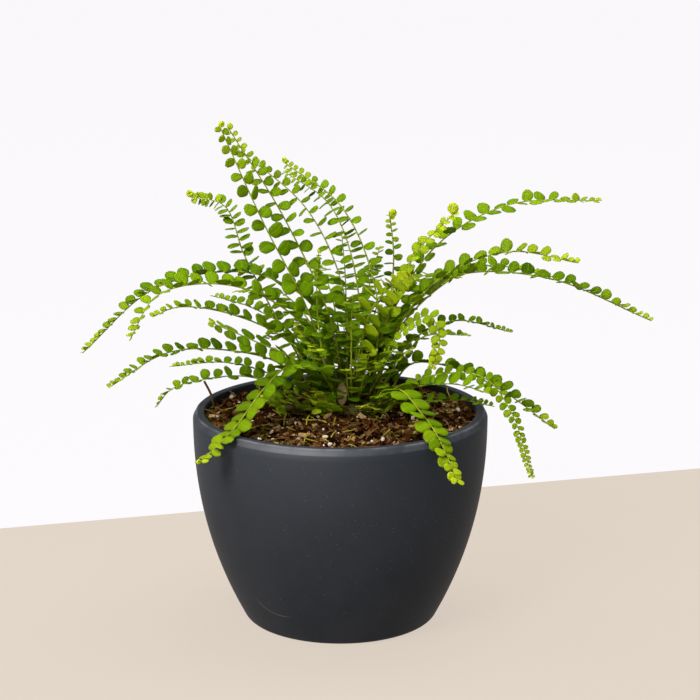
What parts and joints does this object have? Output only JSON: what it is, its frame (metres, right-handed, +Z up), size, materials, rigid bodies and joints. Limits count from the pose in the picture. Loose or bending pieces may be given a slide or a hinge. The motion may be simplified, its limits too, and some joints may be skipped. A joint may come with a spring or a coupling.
{
  "type": "potted fern",
  "caption": "Small-leaved fern with arching fronds growing from a crown in a round matte ceramic bowl pot.",
  "frame": {"origin": "centre of the pot's flat underside", "axes": "+Z up, -Y towards the front of the plant, +X to the right seen from the front"},
  "size_m": [0.3456, 0.2042, 0.3087],
  "materials": {
    "pot_ceramic": "matte",
    "potting_mix": "matte",
    "rhizome": "matte",
    "green_frond": "satin",
    "young_frond": "satin",
    "bark": "matte",
    "perlite": "matte",
    "dry_leaf": "matte"
  },
  "bodies": {
    "root": {"pot": "pot_ceramic", "potting_mix": "potting_mix", "crown_main": "rhizome", "crown_side": "rhizome", "frond_upper_left_front": "green_frond", "frond_upper_left_middle": "green_frond", "frond_upper_left_back": "green_frond", "frond_top_left_front": "green_frond", "frond_top_left_back": "green_frond", "frond_left_edge_on": "green_frond", "frond_left_long": "green_frond", "frond_left_drooping": "green_frond", "frond_left_short_front": "green_frond", "frond_left_short_back": "green_frond", "frond_left_towards_front": "green_frond", "frond_left_low_long": "green_frond", "frond_left_low_back": "green_frond", "frond_over_left_rim": "green_frond", "frond_over_front_left_rim": "green_frond", "frond_upright_right": "green_frond", "frond_upper_right_young": "young_frond", "frond_upper_right_long": "green_frond", "frond_right_bright": "green_frond", "frond_right_longest": "green_frond", "frond_right_behind": "green_frond", "frond_right_middle": "green_frond", "frond_right_back": "green_frond", "frond_right_hanging": "green_frond", "frond_over_right_rim": "green_frond", "frond_right_low": "green_frond", "frond_over_front_right_rim": "green_frond", "frond_hanging_right_rim": "green_frond", "frond_on_right_rim": "green_frond", "frond_front_bright": "green_frond", "frond_middle_upright": "green_frond", "frond_inner_back": "green_frond", "frond_inner_right_back": "green_frond", "frond_inner_right": "green_frond", "frond_inner_front": "green_frond", "frond_low_front_left": "green_frond", "frond_back_right_high": "green_frond", "frond_back_right_low": "green_frond", "frond_back_high": "green_frond", "frond_over_back_rim": "green_frond", "frond_back_left_high": "green_frond", "frond_back_left_low": "green_frond", "frond_back_left_side": "green_frond", "young_leaf_front_left": "young_frond", "young_leaf_front": "young_frond", "young_leaf_front_right": "young_frond", "bark_chip_left": "bark", "bark_chip_right": "bark", "bark_chip_back": "bark", "perlite_grain_front": "perlite", "perlite_grain_right": "perlite", "perlite_grain_left": "perlite", "dry_stalk": "dry_leaf", "dry_leaf_scrap": "dry_leaf"}
  },
  "joints": []
}
